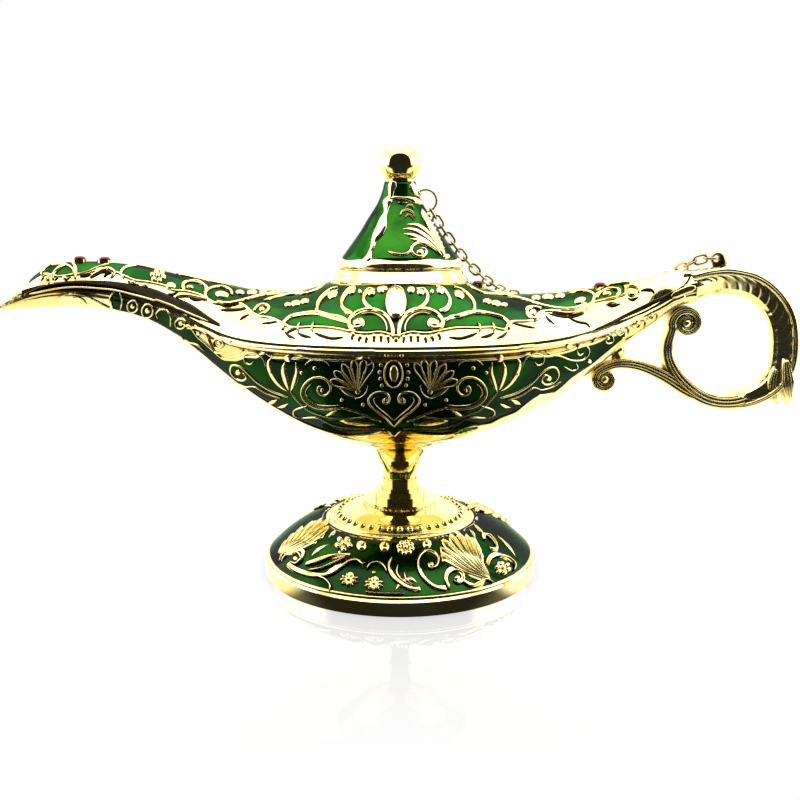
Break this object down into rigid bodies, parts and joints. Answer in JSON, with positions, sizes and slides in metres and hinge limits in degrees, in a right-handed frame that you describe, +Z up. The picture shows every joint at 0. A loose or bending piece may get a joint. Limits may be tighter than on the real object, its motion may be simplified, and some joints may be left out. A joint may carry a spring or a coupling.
{
  "type": "genie oil lamp",
  "caption": "Footed oil lamp with a long spout, a finger ring handle, a green enamelled body with gilt relief and a conical lid held by a chain.",
  "frame": {"origin": "middle of the foot's underside, on the surface it stands on", "axes": "+Z up along the lamp's axis, +X towards the finger ring, the spout towards -X"},
  "size_m": [0.21, 0.0734, 0.1123],
  "materials": {
    "enamel": "glossy green enamel over polished gilt relief",
    "gold": "polished gilt",
    "steel": "bright zinc plate",
    "felt": "dark felt",
    "ruby": "faceted red glass"
  },
  "bodies": {
    "body": {"lower_shell": "enamel", "upper_shell": "enamel", "foot": "enamel", "foot_screw": "steel", "foot_washer": "steel", "base_pad": "felt", "handle": "gold", "chain_lug": "gold", "red_stone_1": "ruby", "red_stone_2": "ruby", "red_stone_3": "ruby", "red_stone_4": "ruby"},
    "lid": {"lid": "enamel", "lid_knob": "gold", "lid_eye": "gold"},
    "jump_ring": {"jump_ring": "gold"},
    "chain_stretch_1": {"chain_link_01": "gold", "chain_link_02": "gold", "chain_link_03": "gold", "chain_link_04": "gold", "chain_link_05": "gold", "chain_link_06": "gold", "chain_link_07": "gold", "chain_link_08": "gold", "chain_link_09": "gold"},
    "chain_stretch_2": {"chain_link_10": "gold", "chain_link_11": "gold", "chain_link_12": "gold", "chain_link_13": "gold", "chain_link_14": "gold", "chain_link_15": "gold", "chain_link_16": "gold", "chain_link_17": "gold", "chain_link_18": "gold"},
    "chain_stretch_3": {"chain_link_19": "gold", "chain_link_20": "gold", "chain_link_21": "gold", "chain_link_22": "gold", "chain_link_23": "gold", "chain_link_24": "gold", "chain_link_25": "gold", "chain_link_26": "gold", "chain_link_27": "gold"},
    "chain_stretch_4": {"chain_link_28": "gold", "chain_link_29": "gold", "chain_link_30": "gold", "chain_link_31": "gold", "chain_link_32": "gold", "chain_link_33": "gold", "chain_link_34": "gold", "chain_link_35": "gold"}
  },
  "joints": [
    {"name": "lid_lift", "type": "slide", "parent": "body", "child": "lid", "axis": [0, 0, 1], "range_m": [0, 0.012]},
    {"name": "jump_ring_swing", "type": "hinge", "parent": "lid", "child": "jump_ring", "pos_m": [0.00484, 0.0053, 0.10022], "axis": [0, 1, 0], "range_deg": [-0.02, 1.39]},
    {"name": "chain_stretch_1_swing", "type": "hinge", "parent": "body", "child": "chain_stretch_1", "pos_m": [0.0823, 0, 0.0831], "axis": [0, 1, 0], "range_deg": [-0.02, 13]},
    {"name": "chain_stretch_2_swing", "type": "hinge", "parent": "chain_stretch_1", "child": "chain_stretch_2", "pos_m": [0.06353, 0.01079, 0.07439], "axis": [0, 1, 0], "range_deg": [-1.83, 0.02]},
    {"name": "chain_stretch_3_swing", "type": "hinge", "parent": "chain_stretch_2", "child": "chain_stretch_3", "pos_m": [0.04052, 0.0168, 0.07138], "axis": [0, 1, 0], "range_deg": [-3.38, 0.02]},
    {"name": "chain_stretch_4_swing", "type": "hinge", "parent": "chain_stretch_3", "child": "chain_stretch_4", "pos_m": [0.02091, 0.00695, 0.07921], "axis": [0, 1, 0], "range_deg": [-6.1, 0.02]}
  ],
  "couplings": [
    {"joint": "jump_ring_swing", "follows": "lid_lift", "rad_per_m": 1.9902},
    {"joint": "chain_stretch_1_swing", "follows": "lid_lift", "rad_per_m": 18.884},
    {"joint": "chain_stretch_2_swing", "follows": "lid_lift", "rad_per_m": -2.6323},
    {"joint": "chain_stretch_3_swing", "follows": "lid_lift", "rad_per_m": -4.8852},
    {"joint": "chain_stretch_4_swing", "follows": "lid_lift", "rad_per_m": -8.8462}
  ]
}
